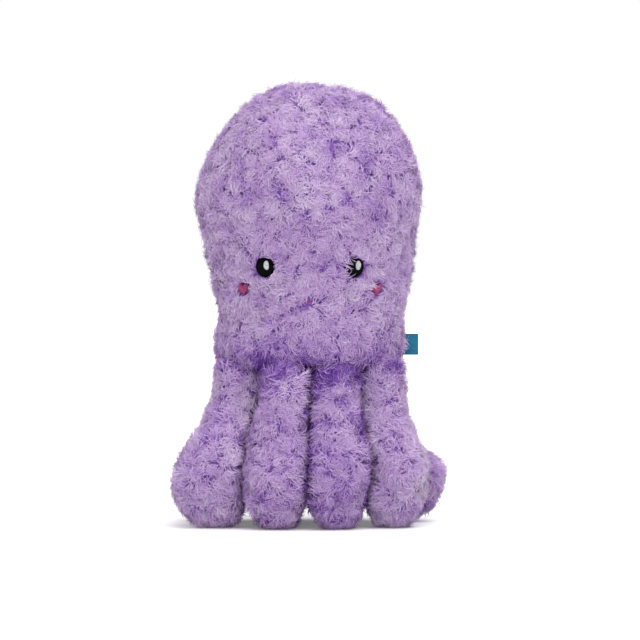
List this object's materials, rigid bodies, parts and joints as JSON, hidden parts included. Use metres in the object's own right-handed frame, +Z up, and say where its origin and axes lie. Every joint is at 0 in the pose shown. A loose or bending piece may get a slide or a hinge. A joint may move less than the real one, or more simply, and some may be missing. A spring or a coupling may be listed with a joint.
{
  "type": "plush octopus",
  "caption": "Stuffed toy octopus with a tall rounded head, a small embroidered face and short stuffed tentacles that it stands on, in long curly lilac plush.",
  "frame": {"origin": "on the floor, at the centre of the footprint", "axes": "+Z up through the crown, -Y the way the face looks, +X to the right of someone who faces the toy"},
  "size_m": [0.2468, 0.17, 0.398],
  "materials": {
    "plush": "lilac long curly plush in clumped tufts, paler at the tips and darker in its depth",
    "stuffing": "white polyester fibre filling, never seen",
    "eye_thread": "black embroidery in satin stitch, with a soft gloss",
    "glint_thread": "white embroidery in satin stitch",
    "cheek_thread": "pink embroidery in satin stitch",
    "mouth_thread": "dull pink embroidered line",
    "tag_ribbon": "teal woven ribbon, bare, with darker edges"
  },
  "bodies": {
    "head": {"head_front_panel": "plush", "head_back_left_panel": "plush", "head_back_right_panel": "plush", "base_panel": "plush", "head_stuffing": "stuffing", "eye_left": "eye_thread", "eye_right": "eye_thread", "eye_glint_left": "glint_thread", "eye_glint_right": "glint_thread", "cheek_left": "cheek_thread", "cheek_right": "cheek_thread", "mouth": "mouth_thread", "side_tag": "tag_ribbon"},
    "tentacle_1": {"tentacle_1_outer_panel": "plush", "tentacle_1_inner_panel": "plush", "tentacle_1_stuffing": "stuffing"},
    "tentacle_2": {"tentacle_2_outer_panel": "plush", "tentacle_2_inner_panel": "plush", "tentacle_2_stuffing": "stuffing"},
    "tentacle_3": {"tentacle_3_outer_panel": "plush", "tentacle_3_inner_panel": "plush", "tentacle_3_stuffing": "stuffing"},
    "tentacle_4": {"tentacle_4_outer_panel": "plush", "tentacle_4_inner_panel": "plush", "tentacle_4_stuffing": "stuffing"},
    "tentacle_5": {"tentacle_5_outer_panel": "plush", "tentacle_5_inner_panel": "plush", "tentacle_5_stuffing": "stuffing"},
    "tentacle_6": {"tentacle_6_outer_panel": "plush", "tentacle_6_inner_panel": "plush", "tentacle_6_stuffing": "stuffing"},
    "tentacle_7": {"tentacle_7_outer_panel": "plush", "tentacle_7_inner_panel": "plush", "tentacle_7_stuffing": "stuffing"},
    "tentacle_8": {"tentacle_8_outer_panel": "plush", "tentacle_8_inner_panel": "plush", "tentacle_8_stuffing": "stuffing"}
  },
  "joints": [
    {"name": "tentacle_1_swing", "type": "hinge", "parent": "head", "child": "tentacle_1", "pos_m": [-0.06376, -0.02202, 0.12828], "axis": [-0.5, 0.866, 0], "range_deg": [0, 75], "stiffness_Nm_per_rad": 0.2},
    {"name": "tentacle_2_swing", "type": "hinge", "parent": "head", "child": "tentacle_2", "pos_m": [-0.02202, -0.04738, 0.12828], "axis": [-1, 0, 0], "range_deg": [-8, 75], "stiffness_Nm_per_rad": 0.2},
    {"name": "tentacle_3_swing", "type": "hinge", "parent": "head", "child": "tentacle_3", "pos_m": [0.02202, -0.04738, 0.12828], "axis": [-1, 0, 0], "range_deg": [-8, 75], "stiffness_Nm_per_rad": 0.2},
    {"name": "tentacle_4_swing", "type": "hinge", "parent": "head", "child": "tentacle_4", "pos_m": [0.06376, -0.02202, 0.12828], "axis": [-0.5, -0.866, 0], "range_deg": [0, 75], "stiffness_Nm_per_rad": 0.2},
    {"name": "tentacle_5_swing", "type": "hinge", "parent": "head", "child": "tentacle_5", "pos_m": [0.06376, 0.02202, 0.12828], "axis": [0.5, -0.866, 0], "range_deg": [0, 75], "stiffness_Nm_per_rad": 0.2},
    {"name": "tentacle_6_swing", "type": "hinge", "parent": "head", "child": "tentacle_6", "pos_m": [0.02202, 0.04738, 0.12828], "axis": [1, 0, 0], "range_deg": [-8, 75], "stiffness_Nm_per_rad": 0.2},
    {"name": "tentacle_7_swing", "type": "hinge", "parent": "head", "child": "tentacle_7", "pos_m": [-0.02202, 0.04738, 0.12828], "axis": [1, 0, 0], "range_deg": [-8, 75], "stiffness_Nm_per_rad": 0.2},
    {"name": "tentacle_8_swing", "type": "hinge", "parent": "head", "child": "tentacle_8", "pos_m": [-0.06376, 0.02202, 0.12828], "axis": [0.5, 0.866, 0], "range_deg": [0, 75], "stiffness_Nm_per_rad": 0.2}
  ]
}
